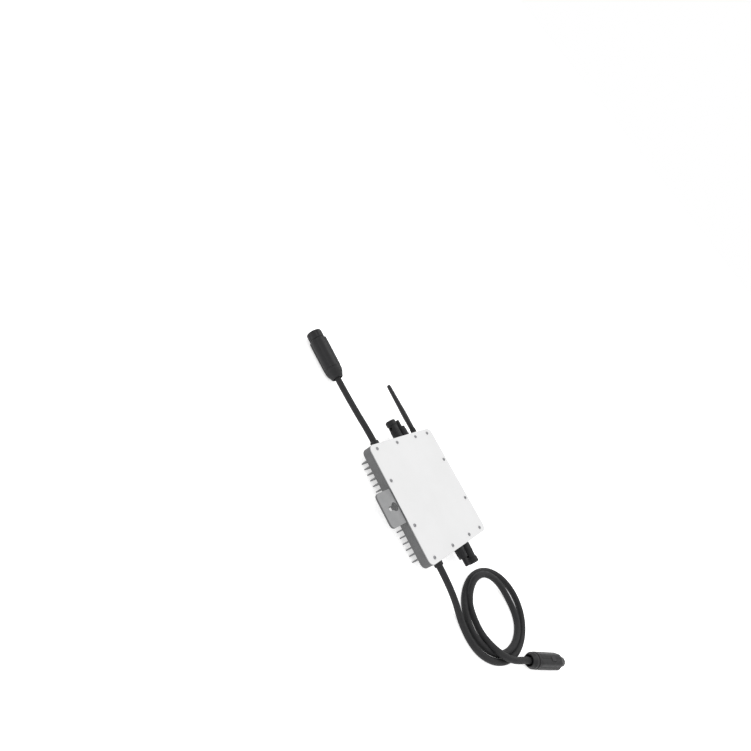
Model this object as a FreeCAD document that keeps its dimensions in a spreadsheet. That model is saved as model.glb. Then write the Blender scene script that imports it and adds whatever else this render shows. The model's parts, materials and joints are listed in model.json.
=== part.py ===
import FreeCAD
import Part
import math
import os
import Sketcher
from FreeCAD import Placement, Rotation, Vector

# A two-input micro inverter: a die-cast finned case with a flat cover, four DC panel
# sockets, an antenna, and an AC trunk cable that leaves at both ends and ends in two
# connectors. X runs across the case, Y along it, and Z up, out of the cover. The origin
# is under the centre of the case, on the plane of the fin tips. Units are millimetres.

# Driving dimensions: alias, value, what it is.
DIMENSIONS = [
    ("case_width", 212, "case across X"),
    ("case_length", 230, "case along Y"),
    ("corner_radius", 12, "outline corners of case and cover"),
    ("inner_radius", 5, "inside corners of the case"),
    ("base_z", 19, "underside of the case floor"),
    ("floor_z", 21.5, "inside face of the case floor"),
    ("rim_z", 37, "top of the case rim and of the ear"),
    ("seat_z", 38, "top of the bosses, underside of the cover"),
    ("cover_z", 40, "top of the cover"),
    ("wall", 6, "case wall"),
    ("edge_round", 2.5, "lower edge of the case"),
    ("fin_pitch", 11.25, "fin spacing along Y"),
    ("fin_count", 18, "number of fins"),
    ("fin_reach", 98, "half length of a fin along X"),
    ("fin_root", 3.4, "fin thickness at the floor"),
    ("fin_tip", 2.2, "fin thickness at the tip"),
    ("screw_x", 87, "corner screws, half spacing in X"),
    ("screw_y", 105.3, "corner and end row screws, half spacing in Y"),
    ("end_left", -22.4, "left screw of each end row"),
    ("end_right", 42.6, "right screw of each end row"),
    ("side_x", 94.5, "side screws, half spacing in X"),
    ("side_y", 43, "side screws, half spacing in Y"),
    ("boss_radius", 6, "screw boss at corners and sides"),
    ("lug_radius", 4.5, "short screw lug on the end walls"),
    ("lug_z", 33.6, "underside of the short lugs"),
    ("pilot_radius", 2.05, "screw hole in a boss"),
    ("cover_hole", 2.2, "screw hole in the cover"),
    ("ear_width", 64, "mounting ear along Y"),
    ("ear_reach", 41.5, "mounting ear beyond the wall"),
    ("ear_thick", 4, "mounting ear"),
    ("ear_round", 9, "corners of the ear"),
    ("keyhole_radius", 8, "round part of the keyhole"),
    ("keyhole_x", -115.5, "centre of the round part"),
    ("keyhole_slot", 4, "half width of the keyhole's slot"),
    ("keyhole_end", -129, "centre of the slot's outer end"),
    ("gasket_inset", 1, "gasket inside the case outline"),
    ("gasket_width", 2.4, "gasket strip"),
    ("head_radius", 3.2, "cover screw head"),
    ("head_high", 1.5, "cover screw head"),
    ("shank_radius", 2, "cover screw thread"),
    ("shank_long", 6, "cover screw under the head"),
    ("port_z", 28.5, "height of every opening in the end walls"),
    ("gland_x", -71, "AC cable glands"),
    ("gland_hole", 7.3, "gland hole in the wall"),
    ("gland_nose", 8, "gland length outside the wall"),
    ("nut_relief", 1.2, "depth of the floor's recess under a gland nut"),
    ("gland_inside", 12, "gland length behind the wall's outer face"),
    ("socket_left", 5.9, "left DC socket"),
    ("socket_right", 28.3, "right DC socket"),
    ("socket_hole", 6, "DC socket hole in the wall"),
    ("socket_thread", 5.8, "DC socket thread"),
    ("contact_tail", 20, "contact length behind the wall's outer face"),
    ("antenna_x", 64, "antenna jack"),
    ("jack_hole", 3.3, "antenna jack hole in the wall"),
    ("jack_thread", 3.1, "antenna jack thread"),
    ("antenna_tip", 115, "antenna length outside the wall"),
    ("cable_radius", 6.1, "AC trunk cable"),
    ("plug_a_z", 18, "first connector, height of its axis"),
    ("plug_a_x", -65, "first connector, X of its axis"),
    ("plug_a_y", 265.5, "first connector, Y of its rear end"),
    ("plug_b_z", 15.7, "second connector, height of its axis"),
    ("plug_b_x", 51.3, "second connector, X of its rear end"),
    ("plug_b_y", -346.8, "second connector, Y of its rear end"),
    ("plug_b_turn", -27.6, "second connector, heading in degrees from X"),
    ("nut_long", 22, "rear nut of a connector"),
    ("insert_start", 30, "rear face of a connector's insert"),
    ("insert_a", 10, "insert of the first connector"),
    ("insert_b", 7, "insert of the second connector"),
    ("board_width", 172, "circuit board across X"),
    ("board_length", 190, "circuit board along Y"),
    ("board_z", 23.5, "underside of the circuit board"),
    ("board_top", 25.1, "top of the circuit board"),
    ("coil_x", 35.5, "cable coil, X of its outline's centre"),
    ("coil_y", -248.7, "cable coil, Y of its outline's centre"),
    ("coil_wide", 99.5, "cable coil, outer half width along X"),
    ("coil_tall", 82.3, "cable coil, outer half width along Y"),
    ("hole_x", 37.8, "hole in the coil, X of its centre"),
    ("hole_y", -245.3, "hole in the coil, Y of its centre"),
    ("hole_wide", 60.7, "hole in the coil, half width along X"),
    ("hole_tall", 61.2, "hole in the coil, half width along Y"),
]
VALUE = {alias: value for alias, value, note in DIMENSIONS}

# Routes of the trunk cable's free stretches, as hand-placed points.
SHORT_CABLE = [(-71, 103, 28.5), (-71, 140, 28.5), (-72.5, 178, 23.5)]
SHORT_CABLE += [(-68.5, 216, 19.5), (-65, 257, 18), (-65, 295.5, 18)]
LEAD_CABLE = [(-71, -103, 28.5), (-71, -140, 28.5), (-61, -184, 17), (-60, -218, 6.1), (-64, -246, 6.1)]
TAIL_CABLE = [(-29.3, -252, 6.4), (-28, -277, 13), (-16, -305, 18.6)]
TAIL_CABLE += [(6, -326.5, 19), (46.87, -344.48, 15.7), (77.89, -360.7, 15.7)]

doc = FreeCAD.newDocument("micro_inverter")
sheet = doc.addObject("Spreadsheet::Sheet", "Sizes")
parts = {}


def fill_sheet():
    """Write each driving dimension to the sheet as plain text, with its alias."""
    for row, (alias, value, note) in enumerate(DIMENSIONS, start=1):
        sheet.set(f"A{row}", alias)
        sheet.set(f"B{row}", str(value))
        sheet.set(f"C{row}", note)
        sheet.setAlias(f"B{row}", alias)
    doc.recompute()


def bound(text):
    """An expression with each alias written as Sizes.alias."""
    words = str(text).split(" ")
    return " ".join("Sizes." + word if word in VALUE else word for word in words)


def keep(node, obj):
    """Name a finished sub-part, so that it is checked and written."""
    obj.Label = node
    parts[node] = obj
    return obj


def place(obj, x="0", y="0", z="0", axis=Vector(0, 0, 1), turn=0):
    """Turn an object about its own origin, then set it at expression-bound coordinates."""
    obj.Placement = Placement(Vector(), Rotation(axis, turn))
    for letter, text in (("x", x), ("y", y), ("z", z)):
        obj.setExpression(f"Placement.Base.{letter}", bound(text))
    return obj


# ---------------------------------------------------------------- sketches and features


def new_body(name):
    return doc.addObject("PartDesign::Body", name + "_body")


def new_sketch(body, plane="XY_Plane", offset="0"):
    """A sketch on one of the body's own origin planes, moved along its normal."""
    sketch = body.newObject("Sketcher::SketchObject", "sketch")
    support = [item for item in body.Origin.OriginFeatures if item.Role == plane][0]
    sketch.AttachmentSupport = [(support, "")]
    sketch.MapMode = "FlatFace"
    sketch.setExpression("AttachmentOffset.Base.z", bound(offset))
    return sketch


def fix_point(sketch, item, end, x, y, start):
    """Hold one sketch point at expression-bound coordinates."""
    for kind, text, value in (("DistanceX", x, start[0]), ("DistanceY", y, start[1])):
        index = sketch.addConstraint(Sketcher.Constraint(kind, -1, 1, item, end, value))
        name = f"{kind}_{item}_{end}"
        sketch.renameConstraint(index, name)
        sketch.setExpression(f"Constraints.{name}", bound(text))


def polygon(sketch, corners):
    """A closed outline through expression-bound corners."""
    count = len(corners)
    first = sketch.GeometryCount
    turns = [2 * math.pi * index / count for index in range(count)]
    starts = [Vector(20 + 9 * math.cos(turn), 20 + 9 * math.sin(turn), 0) for turn in turns]
    for index in range(count):
        sketch.addGeometry(Part.LineSegment(starts[index], starts[(index + 1) % count]), False)
    for index in range(count):
        after = first + (index + 1) % count
        sketch.addConstraint(Sketcher.Constraint("Coincident", first + index, 2, after, 1))
    for index, (x, y) in enumerate(corners):
        fix_point(sketch, first + index, 1, x, y, starts[index])


def rectangle(sketch, x, y, half_x, half_y):
    """A rectangle from its centre and its half sizes."""
    signs = ((-1, -1), (1, -1), (1, 1), (-1, 1))
    polygon(sketch, [(f"{x} + {i} * ( {half_x} )", f"{y} + {j} * ( {half_y} )") for i, j in signs])


def circle(sketch, x, y, radius):
    """A circle with expression-bound centre and radius."""
    item = sketch.addGeometry(Part.Circle(Vector(9, 9, 0), Vector(0, 0, 1), 2), False)
    fix_point(sketch, item, 3, x, y, (9, 9))
    index = sketch.addConstraint(Sketcher.Constraint("Radius", item, 2))
    sketch.renameConstraint(index, f"radius_{item}")
    sketch.setExpression(f"Constraints.radius_{item}", bound(radius))


def extrude(body, sketch, length, cut=False, both=False, backwards=False):
    """A Pad or a Pocket of a sketch."""
    feature = body.newObject("PartDesign::Pocket" if cut else "PartDesign::Pad", "feature")
    feature.Profile = sketch
    feature.setExpression("Length", bound(length))
    feature.SideType = "Symmetric" if both else "One side"
    feature.Reversed = backwards
    return feature


def turned(node, outline, extra=None):
    """A body turned about its own Z axis from (radius, height) expressions."""
    body = new_body(node)
    sketch = new_sketch(body, "XZ_Plane")
    polygon(sketch, outline)
    feature = body.newObject("PartDesign::Revolution", "turning")
    feature.Profile = sketch
    feature.ReferenceAxis = (sketch, ["V_Axis"])
    feature.Angle = 360
    if extra:
        extra(body)
    return body


def round_edges(body, base, radius, chosen):
    """Fillet the edges of a feature for which chosen(edge) is true."""
    doc.recompute()
    edges = base.Shape.Edges
    names = [f"Edge{index}" for index, edge in enumerate(edges, start=1) if chosen(edge)]
    fillet = body.newObject("PartDesign::Fillet", "rounding")
    fillet.Base = (base, names)
    fillet.setExpression("Radius", bound(radius))
    return fillet


def upright(edge):
    """True for a straight edge that runs along Z."""
    box = edge.BoundBox
    return box.XLength < 0.01 and box.YLength < 0.01


def repeat_around(body, feature, count):
    """Repeat a feature about the body's Z axis."""
    axis = [item for item in body.Origin.OriginFeatures if item.Role == "Z_Axis"][0]
    pattern = body.newObject("PartDesign::PolarPattern", "around")
    pattern.Originals = [feature]
    pattern.Axis = (axis, [""])
    pattern.Angle = 360
    pattern.Occurrences = count
    body.Tip = pattern


# ---------------------------------------------------------------- primitives and groups


def block(x, y, z, long, wide, high):
    """A box centred at x, y and standing on z."""
    item = doc.addObject("Part::Box", "block")
    for name, text in (("Length", long), ("Width", wide), ("Height", high)):
        item.setExpression(name, bound(text))
    return place(item, f"{x} - ( {long} ) / 2", f"{y} - ( {wide} ) / 2", z)


def rod(x, y, z, radius, long, axis=Vector(0, 0, 1), turn=0):
    """A cylinder that starts at x, y, z."""
    item = doc.addObject("Part::Cylinder", "rod")
    item.setExpression("Radius", bound(radius))
    item.setExpression("Height", bound(long))
    return place(item, x, y, z, axis, turn)


def group(node, items):
    """One node made of separate solids."""
    compound = doc.addObject("Part::Compound", node + "_group")
    compound.Links = items
    return keep(node, compound)


def cut(base, tool):
    item = doc.addObject("Part::Cut", "cut")
    item.Base = base
    item.Tool = tool
    return item


def copies(node, master, placements):
    """One node of identical pieces, copied from a master sub-part's shape."""
    doc.recompute()
    shapes = []
    for placement in placements:
        shape = master.Shape.copy()
        shape.Placement = placement.multiply(shape.Placement)
        shapes.append(shape)
    item = doc.addObject("Part::Feature", node + "_copies")
    item.Shape = Part.makeCompound(shapes)
    return keep(node, item)


# ---------------------------------------------------------------- case and cover


def screw_spots(rows):
    """Screw positions as expressions: corners, sides or end rows."""
    spots = {
        "corner": [(f"{i} * screw_x", f"{j} * screw_y") for i in (-1, 1) for j in (-1, 1)],
        "side": [(f"{i} * side_x", f"{j} * side_y") for i in (-1, 1) for j in (-1, 1)],
        "end": [(name, f"{j} * screw_y") for name in ("end_left", "end_right") for j in (-1, 1)],
    }
    return [spot for row in rows for spot in spots[row]]


def make_case():
    """Die-cast tray with fins below, screw bosses inside and one mounting ear."""
    body = new_body("heatsink_case")
    shell = slab(body, "0", "base_z", "rim_z")
    shell = round_edges(body, shell, "edge_round", lambda edge: edge.BoundBox.ZMax < VALUE["base_z"] + 0.1)

    sketch = new_sketch(body, offset="rim_z")
    rectangle(sketch, "0", "0", "case_width / 2 - wall", "case_length / 2 - wall")
    hollow = extrude(body, sketch, "rim_z - floor_z", cut=True)
    inside_x = VALUE["case_width"] / 2 - VALUE["wall"]

    def inside_corner(edge):
        return upright(edge) and abs(abs(edge.BoundBox.XMin) - inside_x) < 0.1

    round_edges(body, hollow, "inner_radius", inside_corner)

    sketch = new_sketch(body, "YZ_Plane")
    first = "0 - fin_pitch * ( fin_count - 1 ) / 2"
    root = "base_z + 0.5"
    corners = [("fin_root", root), ("fin_tip", "0"), ("0 - fin_tip", "0"), ("0 - fin_root", root)]
    polygon(sketch, [(f"{first} + ( {half} ) / 2", height) for half, height in corners])
    fin = extrude(body, sketch, "2 * fin_reach", both=True)
    axis = [item for item in body.Origin.OriginFeatures if item.Role == "Y_Axis"][0]
    fins = body.newObject("PartDesign::LinearPattern", "fins")
    fins.Originals = [fin]
    fins.Direction = (axis, [""])
    fins.setExpression("Length", bound("fin_pitch * ( fin_count - 1 )"))
    fins.setExpression("Occurrences", bound("fin_count"))
    body.Tip = fins

    sketch = new_sketch(body, offset="floor_z - 0.5")
    for x, y in screw_spots(("corner", "side")):
        circle(sketch, x, y, "boss_radius")
    extrude(body, sketch, "seat_z - floor_z + 0.5")
    sketch = new_sketch(body, offset="lug_z")
    for x, y in screw_spots(("end",)):
        circle(sketch, x, y, "lug_radius")
    extrude(body, sketch, "seat_z - lug_z")
    sketch = new_sketch(body, offset="floor_z - 0.5")
    for x, y in board_posts():
        circle(sketch, x, y, "4")
    extrude(body, sketch, "board_z - floor_z + 0.5")

    sketch = new_sketch(body, offset="rim_z - ear_thick")
    ear_middle = "0 - ( case_width + ear_reach - 4 ) / 2"
    rectangle(sketch, ear_middle, "0", "ear_reach / 2 + 2", "ear_width / 2")
    ear = extrude(body, sketch, "ear_thick")
    edge_x = -VALUE["case_width"] / 2 - VALUE["ear_reach"]
    round_edges(body, ear, "ear_round", lambda edge: upright(edge) and abs(edge.BoundBox.XMin - edge_x) < 0.1)

    sketch = new_sketch(body, offset="rim_z")
    circle(sketch, "keyhole_x", "0", "keyhole_radius")
    extrude(body, sketch, "ear_thick", cut=True)
    sketch = new_sketch(body, offset="rim_z")
    middle = "( keyhole_x + keyhole_end ) / 2"
    rectangle(sketch, middle, "0", "( keyhole_x - keyhole_end ) / 2", "keyhole_slot")
    extrude(body, sketch, "ear_thick", cut=True)
    sketch = new_sketch(body, offset="rim_z")
    circle(sketch, "keyhole_end", "0", "keyhole_slot")
    extrude(body, sketch, "ear_thick", cut=True)

    sketch = new_sketch(body, offset="seat_z")
    for x, y in screw_spots(("corner", "side", "end")):
        circle(sketch, x, y, "pilot_radius")
    extrude(body, sketch, "seat_z - lug_z + 0.5", cut=True)
    sketch = new_sketch(body, offset="board_z")
    for x, y in board_posts():
        circle(sketch, x, y, "1.3")
    extrude(body, sketch, "board_z - floor_z", cut=True)

    sketch = new_sketch(body, offset="floor_z")
    for side in (-1, 1):
        rectangle(sketch, "gland_x", f"{side} * ( case_length / 2 - wall - 2.5 )", "6", "2.5")
    extrude(body, sketch, "nut_relief", cut=True)

    sketch = new_sketch(body, "XZ_Plane")
    circle(sketch, "socket_left", "port_z", "socket_hole")
    circle(sketch, "socket_right", "port_z", "socket_hole")
    extrude(body, sketch, "case_length + 2", cut=True, both=True)
    sketch = new_sketch(body, "XZ_Plane", offset="wall + 2 - case_length / 2")
    circle(sketch, "antenna_x", "port_z", "jack_hole")
    circle(sketch, "gland_x", "port_z", "gland_hole")
    extrude(body, sketch, "wall + 4", cut=True)
    sketch = new_sketch(body, "XZ_Plane", offset="case_length / 2 + 2")
    circle(sketch, "gland_x", "port_z", "gland_hole")
    extrude(body, sketch, "wall + 4", cut=True)
    keep("heatsink_case", body)


def slab(body, inset, low, high):
    """A rounded slab with the case's outline, moved inwards by an inset."""
    sketch = new_sketch(body, offset=low)
    rectangle(sketch, "0", "0", f"case_width / 2 - ( {inset} )", f"case_length / 2 - ( {inset} )")
    pad = extrude(body, sketch, f"{high} - {low}")
    return round_edges(body, pad, f"corner_radius - ( {inset} )", upright)


def make_cover():
    """Flat sheet with rounded corners and a hole for each screw."""
    body = new_body("cover_plate")
    sheet_pad = slab(body, "0", "seat_z", "cover_z")
    round_edges(body, sheet_pad, "0.5", lambda edge: edge.BoundBox.ZMin > VALUE["cover_z"] - 0.1)
    sketch = new_sketch(body, offset="cover_z")
    for x, y in screw_spots(("corner", "side", "end")):
        circle(sketch, x, y, "cover_hole")
    extrude(body, sketch, "cover_z - seat_z", cut=True)
    keep("cover_plate", body)


def make_gasket():
    """Flat rubber frame between the rim and the cover."""
    outer = new_body("gasket_outer")
    slab(outer, "gasket_inset", "rim_z", "seat_z")
    inner = new_body("gasket_inner")
    slab(inner, "gasket_inset + gasket_width", "rim_z", "seat_z")
    keep("cover_gasket", cut(outer, inner))


def make_cover_screws():
    """Twelve button-head screws with a hexagonal recess, all one node."""

    def recess(body):
        sketch = new_sketch(body, offset="head_high")
        corners = [(math.cos(math.radians(60 * k)), math.sin(math.radians(60 * k))) for k in range(6)]
        polygon(sketch, [(f"{1.45 * x:.4f}", f"{1.45 * y:.4f}") for x, y in corners])
        extrude(body, sketch, "0.9", cut=True)

    outline = [("0", "0 - shank_long"), ("shank_radius - 0.5", "0 - shank_long")]
    outline += [("shank_radius", "0.5 - shank_long"), ("shank_radius", "0"), ("head_radius", "0")]
    outline += [("head_radius", "head_high / 2"), ("head_radius - 0.7", "head_high"), ("0", "head_high")]
    master = turned("cover_screw", outline, recess)
    size = VALUE
    spots = [(i * size["screw_x"], j * size["screw_y"]) for i in (-1, 1) for j in (-1, 1)]
    spots += [(i * size["side_x"], j * size["side_y"]) for i in (-1, 1) for j in (-1, 1)]
    spots += [(x, j * size["screw_y"]) for x in (size["end_left"], size["end_right"]) for j in (-1, 1)]
    copies("cover_screws", master, [Placement(Vector(x, y, size["cover_z"]), Rotation()) for x, y in spots])


# ---------------------------------------------------------------- end wall fittings

AWAY = Vector(1, 0, 0)


def wall_place(obj, x, side):
    """Set a piece on an end wall, its own Z pointing out of the case (side 1 or -1)."""
    return place(obj, x, f"{side} * case_length / 2", "port_z", AWAY, -90 * side)


def wall_placement(x, side):
    """The same place as a plain Placement, for copied pieces."""
    spot = Vector(x, side * VALUE["case_length"] / 2, VALUE["port_z"])
    return Placement(spot, Rotation(AWAY, -90 * side))


def hex_nut(name, across, hole, start, thick):
    """Hexagonal nut about its own Z axis, from across-corners radius and hole radius."""
    body = new_body(name)
    sketch = new_sketch(body, offset=start)
    spots = [(math.cos(math.radians(60 * k)), math.sin(math.radians(60 * k))) for k in range(6)]
    polygon(sketch, [(f"{across} * {x:.5f}", f"{across} * {y:.5f}") for x, y in spots])
    circle(sketch, "0", "0", hole)
    extrude(body, sketch, thick)
    return body


def add_ribs(radius, low, high, count, thick, proud):
    """Raised ribs along Z, spread evenly round a turned body."""

    def build(body):
        sketch = new_sketch(body, offset=low)
        middle = f"{radius} - 0.5 + ( {proud} ) / 2"
        rectangle(sketch, middle, "0", f"( {proud} ) / 2 + 0.5", f"( {thick} ) / 2")
        rib = extrude(body, sketch, f"{high} - ( {low} )")
        repeat_around(body, rib, count)

    return build


def make_sockets():
    """Four panel sockets: long positive ones and short negative ones, one each end."""
    long_outline = [("2.2", "-14"), ("socket_thread", "-14"), ("socket_thread", "1"), ("9.6", "1")]
    long_outline += [("9.6", "5"), ("9.4", "6"), ("8.8", "27"), ("10.3", "28.5"), ("10.3", "36.5")]
    long_outline += [("9.3", "38"), ("6.6", "38"), ("6.2", "37"), ("6.2", "12"), ("2.2", "12")]
    short_outline = [("2.9", "-14"), ("socket_thread", "-14"), ("socket_thread", "1"), ("9.6", "1")]
    short_outline += [("9.6", "5"), ("9", "6"), ("8.7", "19.5"), ("7.9", "20.5"), ("6.6", "20.5")]
    short_outline += [("6.2", "20"), ("6.2", "10"), ("4.3", "10"), ("4.3", "34.5"), ("3.9", "35.5")]
    short_outline += [("3.4", "35.5"), ("3.1", "35"), ("3.1", "5"), ("2.9", "5")]

    def windows(body):
        sketch = new_sketch(body, "YZ_Plane")
        rectangle(sketch, "0", "22", "2.6", "3")
        extrude(body, sketch, "40", cut=True, both=True)
        add_ribs("8.9", "5", "17", 8, "1.6", "0.7")(body)

    def teeth(body):
        add_ribs("8.6", "5", "13.5", 10, "1.8", "0.7")(body)

    for end, side, plus_x, minus_x in (("front", 1, "left", "right"), ("rear", -1, "right", "left")):
        plus = turned(f"dc_plus_socket_{end}", long_outline, windows)
        keep(f"dc_plus_socket_{end}", wall_place(plus, f"socket_{plus_x}", side))
        minus = turned(f"dc_minus_socket_{end}", short_outline, teeth)
        keep(f"dc_minus_socket_{end}", wall_place(minus, f"socket_{minus_x}", side))

    back = "0 - contact_tail"
    pin = turned("dc_pin", [("0", back), ("2", back), ("2", "27"), ("1.2", "30"), ("0", "30")])
    sleeve_outline = [("1.5", "34"), ("1.5", "10"), ("0", "10"), ("0", back), ("2.6", back), ("2.6", "34")]
    sleeve = turned("dc_sleeve", sleeve_outline)
    left, right = VALUE["socket_left"], VALUE["socket_right"]
    copies("dc_contact_pins", pin, [wall_placement(left, 1), wall_placement(right, -1)])
    copies("dc_contact_sleeves", sleeve, [wall_placement(right, 1), wall_placement(left, -1)])
    everywhere = [wall_placement(x, side) for x in (left, right) for side in (1, -1)]
    nut = hex_nut("dc_nut", "8", "socket_thread + 0.05", "0 - wall - 3.5", "3.5")
    copies("dc_panel_nuts", nut, everywhere)
    bore = "socket_thread + 0.1"
    seal = turned("dc_seal", [(bore, "0"), ("9.3", "0"), ("9.3", "1"), (bore, "1")])
    copies("dc_panel_seals", seal, everywhere)


def make_glands():
    """Moulded cable glands through both end walls, with their inside nuts."""
    bore = "cable_radius"
    outline = [(bore, "0 - gland_inside"), ("7.1", "0 - gland_inside"), ("7.1", "0"), ("8.4", "0")]
    outline += [("8.4", "3"), ("8", "3.6"), ("7.8", "gland_nose - 1")]
    outline += [("7.2", "gland_nose"), (bore, "gland_nose")]
    ribs = add_ribs("7.8", "3", "gland_nose - 1.5", 8, "2", "0.5")
    for end, side in (("front", 1), ("rear", -1)):
        gland = turned(f"ac_gland_{end}", outline, ribs)
        keep(f"ac_gland_{end}", wall_place(gland, "gland_x", side))
    nut = hex_nut("ac_nut", "9.3", "7.15", "0 - wall - 4", "4")
    copies("ac_gland_nuts", nut, [wall_placement(VALUE["gland_x"], side) for side in (1, -1)])


def make_antenna():
    """Bulkhead jack with its nut, and a rubber whip whose collar turns on the jack."""
    outline = [("0", "-9"), ("jack_thread", "-9"), ("jack_thread", "0"), ("5.5", "0"), ("5.5", "1.6")]
    outline += [("jack_thread", "2"), ("jack_thread", "8.6"), ("2.6", "9"), ("0", "9")]
    keep("antenna_jack", wall_place(turned("antenna_jack", outline), "antenna_x", 1))
    nut = hex_nut("jack_nut", "5", "jack_thread + 0.05", "0 - wall - 2.4", "2.4")
    keep("antenna_jack_nut", wall_place(nut, "antenna_x", 1))
    bore = "jack_thread + 0.08"
    outline = [(bore, "2.3"), ("5.1", "2.3"), ("5.5", "2.8"), ("5.5", "11"), ("5.2", "12"), ("0", "12")]
    outline += [("0", "9.6"), (bore, "9.6")]
    collar = turned("antenna_collar", outline, add_ribs("5.4", "3.4", "10.4", 16, "1", "0.45"))
    keep("antenna_collar", wall_place(collar, "antenna_x", 1))
    outline = [("0", "12"), ("5.2", "12"), ("5.3", "22"), ("5.6", "36"), ("5.6", "50"), ("5.1", "66")]
    outline += [("4.3", "antenna_tip - 5"), ("3.6", "antenna_tip - 1.2")]
    outline += [("2.2", "antenna_tip"), ("0", "antenna_tip")]
    keep("antenna_whip", wall_place(turned("antenna_whip", outline), "antenna_x", 1))


# ---------------------------------------------------------------- AC connectors


def plug_place(obj, plug):
    """Set a connector piece, its own Z pointing from the cable end to the mating end."""
    if plug == "a":
        return place(obj, "plug_a_x", "plug_a_y", "plug_a_z", AWAY, -90)
    heading = VALUE["plug_b_turn"]
    lying = Rotation(Vector(0, 1, 0), 90).multiply(Rotation(Vector(0, 0, 1), 180))
    whole = Rotation(Vector(0, 0, 1), heading).multiply(lying)
    return place(obj, "plug_b_x", "plug_b_y", "plug_b_z", whole.Axis, math.degrees(whole.Angle))


def six_sided(body, low, high, low_flat, high_flat):
    """A tapered six-sided barrel with eased corners, from its half widths across flats."""
    sections = []
    for height, flat in ((low, low_flat), (high, high_flat)):
        sketch = new_sketch(body, offset=height)
        corners = []
        for side in range(6):
            for degrees, swell in ((-20, 1.064), (20, 1.064), (30, 1.08)):
                angle = math.radians(60 * side + degrees)
                corners.append((swell * math.cos(angle), swell * math.sin(angle)))
        polygon(sketch, [(f"( {flat} ) * {x:.5f}", f"( {flat} ) * {y:.5f}") for x, y in corners])
        sections.append(sketch)
    loft = body.newObject("PartDesign::AdditiveLoft", "barrel")
    loft.Profile = sections[0]
    loft.Sections = [sections[1]]
    return loft


def drill(body, low, high, radius):
    """A round hole along Z between two heights."""
    sketch = new_sketch(body, offset=high)
    circle(sketch, "0", "0", radius)
    extrude(body, sketch, f"{high} - ( {low} )", cut=True)


def make_plug(plug, rear, mouth, face):
    """Pieces that both connectors share: rear nut, cable seal and insert."""
    nut = turned(f"plug_{plug}_nut", [("8.6", "nut_long"), ("8.6", mouth), ("9.6", "0")] + rear)
    keep(f"plug_{plug}_nut", plug_place(nut, plug))
    seal_outline = [("cable_radius", mouth), ("7.6", mouth), ("8.5", f"{mouth} + 2")]
    seal_outline += [("8.5", "insert_start - 1"), ("cable_radius", "insert_start - 1")]
    keep(f"plug_{plug}_seal", plug_place(turned(f"plug_{plug}_seal", seal_outline), plug))
    radius = f"insert_{plug} - 0.05"
    outline = [("0", "insert_start"), (radius, "insert_start"), (radius, face), ("0", face)]
    keep(f"plug_{plug}_insert", plug_place(turned(f"plug_{plug}_insert", outline), plug))


def contact_group(plug, start, end, spread):
    """Five contacts on a circle, standing out of the insert."""
    outline = [("0", start), ("1.3", start), ("1.3", f"{end} - 1"), ("0.6", end), ("0", end)]
    pin = turned(f"plug_{plug}_pin", outline)
    doc.recompute()
    frame = parts[f"plug_{plug}_insert"].Placement
    around = [math.radians(72 * k) for k in range(5)]
    spots = [Placement(Vector(spread * math.cos(t), spread * math.sin(t), 0), Rotation()) for t in around]
    copies(f"plug_{plug}_contacts", pin, [frame.multiply(spot) for spot in spots])


def make_plug_a():
    """First connector: hexagonal shell with a turning coupling collar in front."""
    rear = [("11.2", "0"), ("12.8", "4"), ("16", "11"), ("17.2", "16.5"), ("17.2", "nut_long")]
    make_plug("a", rear, "13", "92")
    shell = new_body("plug_a_shell")
    six_sided(shell, "nut_long", "88", "16.4", "16.6")
    sketch = new_sketch(shell, offset="88")
    circle(sketch, "0", "0", "11.4")
    extrude(shell, sketch, "12")
    drill(shell, "insert_start", "100", "insert_a")
    drill(shell, "nut_long", "insert_start", "8.6")
    keep("plug_a_shell", plug_place(shell, "a"))

    def grips(body):
        sketch = new_sketch(body, offset="91")
        rectangle(sketch, "16.1", "0", "1.4", "2.4")
        slot = extrude(body, sketch, "20", backwards=True, cut=True)
        repeat_around(body, slot, 6)

    outline = [("11.47", "88.4"), ("14.6", "88.4"), ("15.5", "89.4"), ("15.5", "104.6"), ("14.3", "106")]
    outline += [("10.6", "106"), ("10.6", "100.6"), ("11.47", "100.6")]
    keep("plug_a_collar", plug_place(turned("plug_a_collar", outline, grips), "a"))
    contact_group("a", "92", "98.5", 6)


def make_plug_b():
    """Second connector: hexagonal shell, narrow nose and a sprung release button."""
    rear = [("11", "0"), ("14.4", "8"), ("14.6", "8.6"), ("14.6", "13.4"), ("13.4", "13.8")]
    rear += [("13.4", "15.4"), ("15", "16"), ("15", "nut_long")]
    make_plug("b", rear, "14", "96")
    shell = new_body("plug_b_shell")
    six_sided(shell, "nut_long", "91", "14.2", "14.5")
    outline = [("0", "90"), ("14.4", "90"), ("14.4", "91"), ("9.6", "103"), ("8.9", "103.5")]
    outline += [("8.9", "108.5"), ("8", "110"), ("0", "110")]
    sketch = new_sketch(shell, "XZ_Plane")
    polygon(sketch, outline)
    nose = shell.newObject("PartDesign::Revolution", "nose")
    nose.Profile = sketch
    nose.ReferenceAxis = (sketch, ["V_Axis"])
    nose.Angle = 360
    drill(shell, "insert_start", "110", "insert_b")
    drill(shell, "nut_long", "insert_start", "8.6")
    sketch = new_sketch(shell, "YZ_Plane", offset="9.6")
    rectangle(sketch, "0", "62", "4.2", "6.2")
    extrude(shell, sketch, "10", cut=True, backwards=True)
    keep("plug_b_shell", plug_place(shell, "b"))
    button = new_body("plug_b_button")
    sketch = new_sketch(button, "YZ_Plane", offset="11.3")
    rectangle(sketch, "0", "62", "3.9", "5.9")
    pad = extrude(button, sketch, "4")
    round_edges(button, pad, "0.8", lambda edge: edge.BoundBox.XMin > 15.2)
    keep("plug_b_button", plug_place(button, "b"))
    contact_group("b", "96", "106", 4.2)


# ---------------------------------------------------------------- trunk cable


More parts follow.
